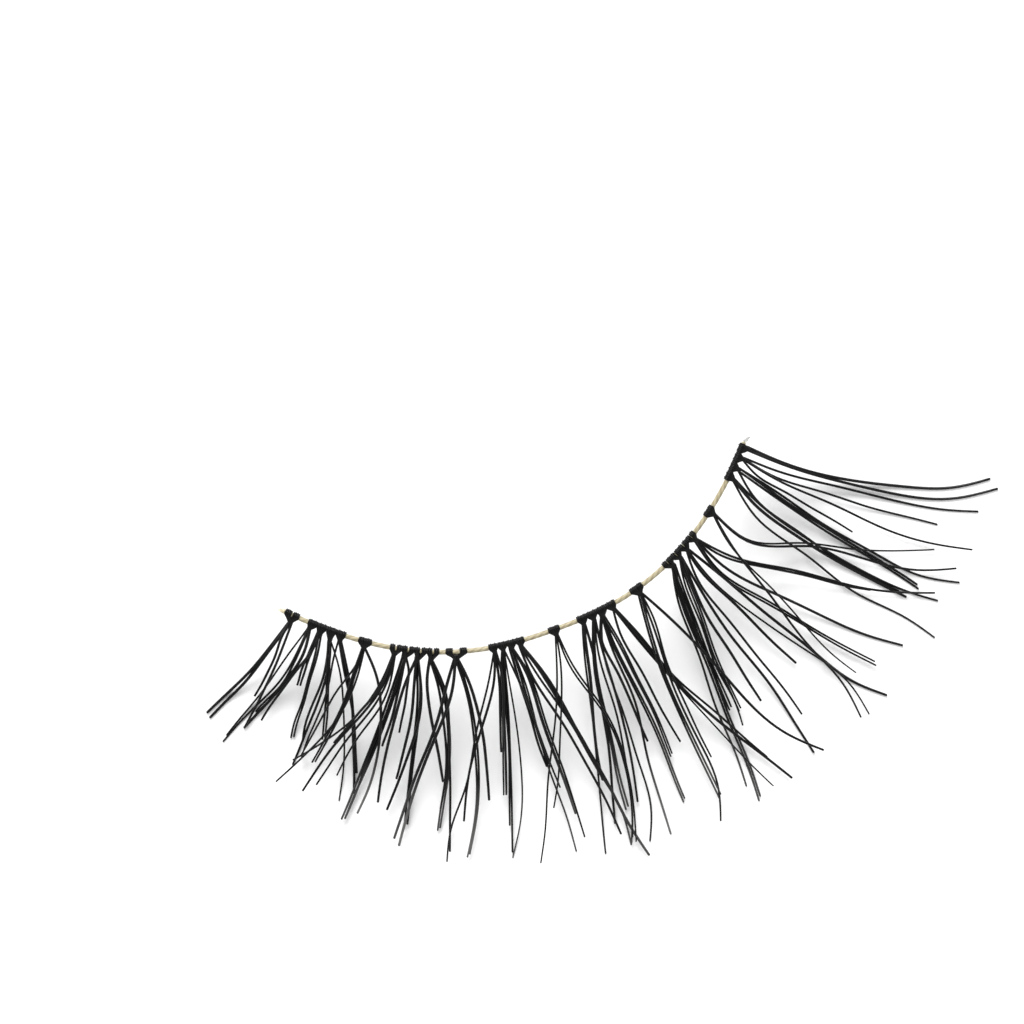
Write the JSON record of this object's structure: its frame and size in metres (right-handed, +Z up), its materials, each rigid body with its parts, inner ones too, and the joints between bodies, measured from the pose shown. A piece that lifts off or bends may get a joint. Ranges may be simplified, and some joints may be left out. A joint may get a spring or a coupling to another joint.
{
  "type": "false eyelash strip",
  "caption": "Strip of false eyelashes: tufts of black hair knotted on a curved tan thread, single knots between rows of knots, long crossing hairs.",
  "frame": {"origin": "on the table, under the middle of the strip's bounding box", "axes": "+X along the band's chord from the inner to the outer corner of the eye, hairs toward -Y, +Z up from the table"},
  "size_m": [0.0458, 0.02, 0.0036],
  "materials": {
    "thread": "satin pale tan thread, slightly see-through",
    "hair": "black synthetic hair with a soft grey sheen"
  },
  "bodies": {
    "root": {"band_thread": "thread", "tuft_01": "hair", "tuft_02_1": "hair", "tuft_02_2": "hair", "tuft_02_3": "hair", "tuft_02_4": "hair", "tuft_03": "hair", "tuft_04_1": "hair", "tuft_04_2": "hair", "tuft_04_3": "hair", "tuft_04_4": "hair", "tuft_05": "hair", "tuft_06_1": "hair", "tuft_06_2": "hair", "tuft_06_3": "hair", "tuft_06_4": "hair", "tuft_07": "hair", "tuft_08_1": "hair", "tuft_08_2": "hair", "tuft_08_3": "hair", "tuft_08_4": "hair", "tuft_09": "hair", "tuft_10_1": "hair", "tuft_10_2": "hair", "tuft_10_3": "hair", "tuft_10_4": "hair", "tuft_11": "hair", "tuft_12_1": "hair", "tuft_12_2": "hair", "tuft_12_3": "hair", "tuft_12_4": "hair"}
  },
  "joints": []
}
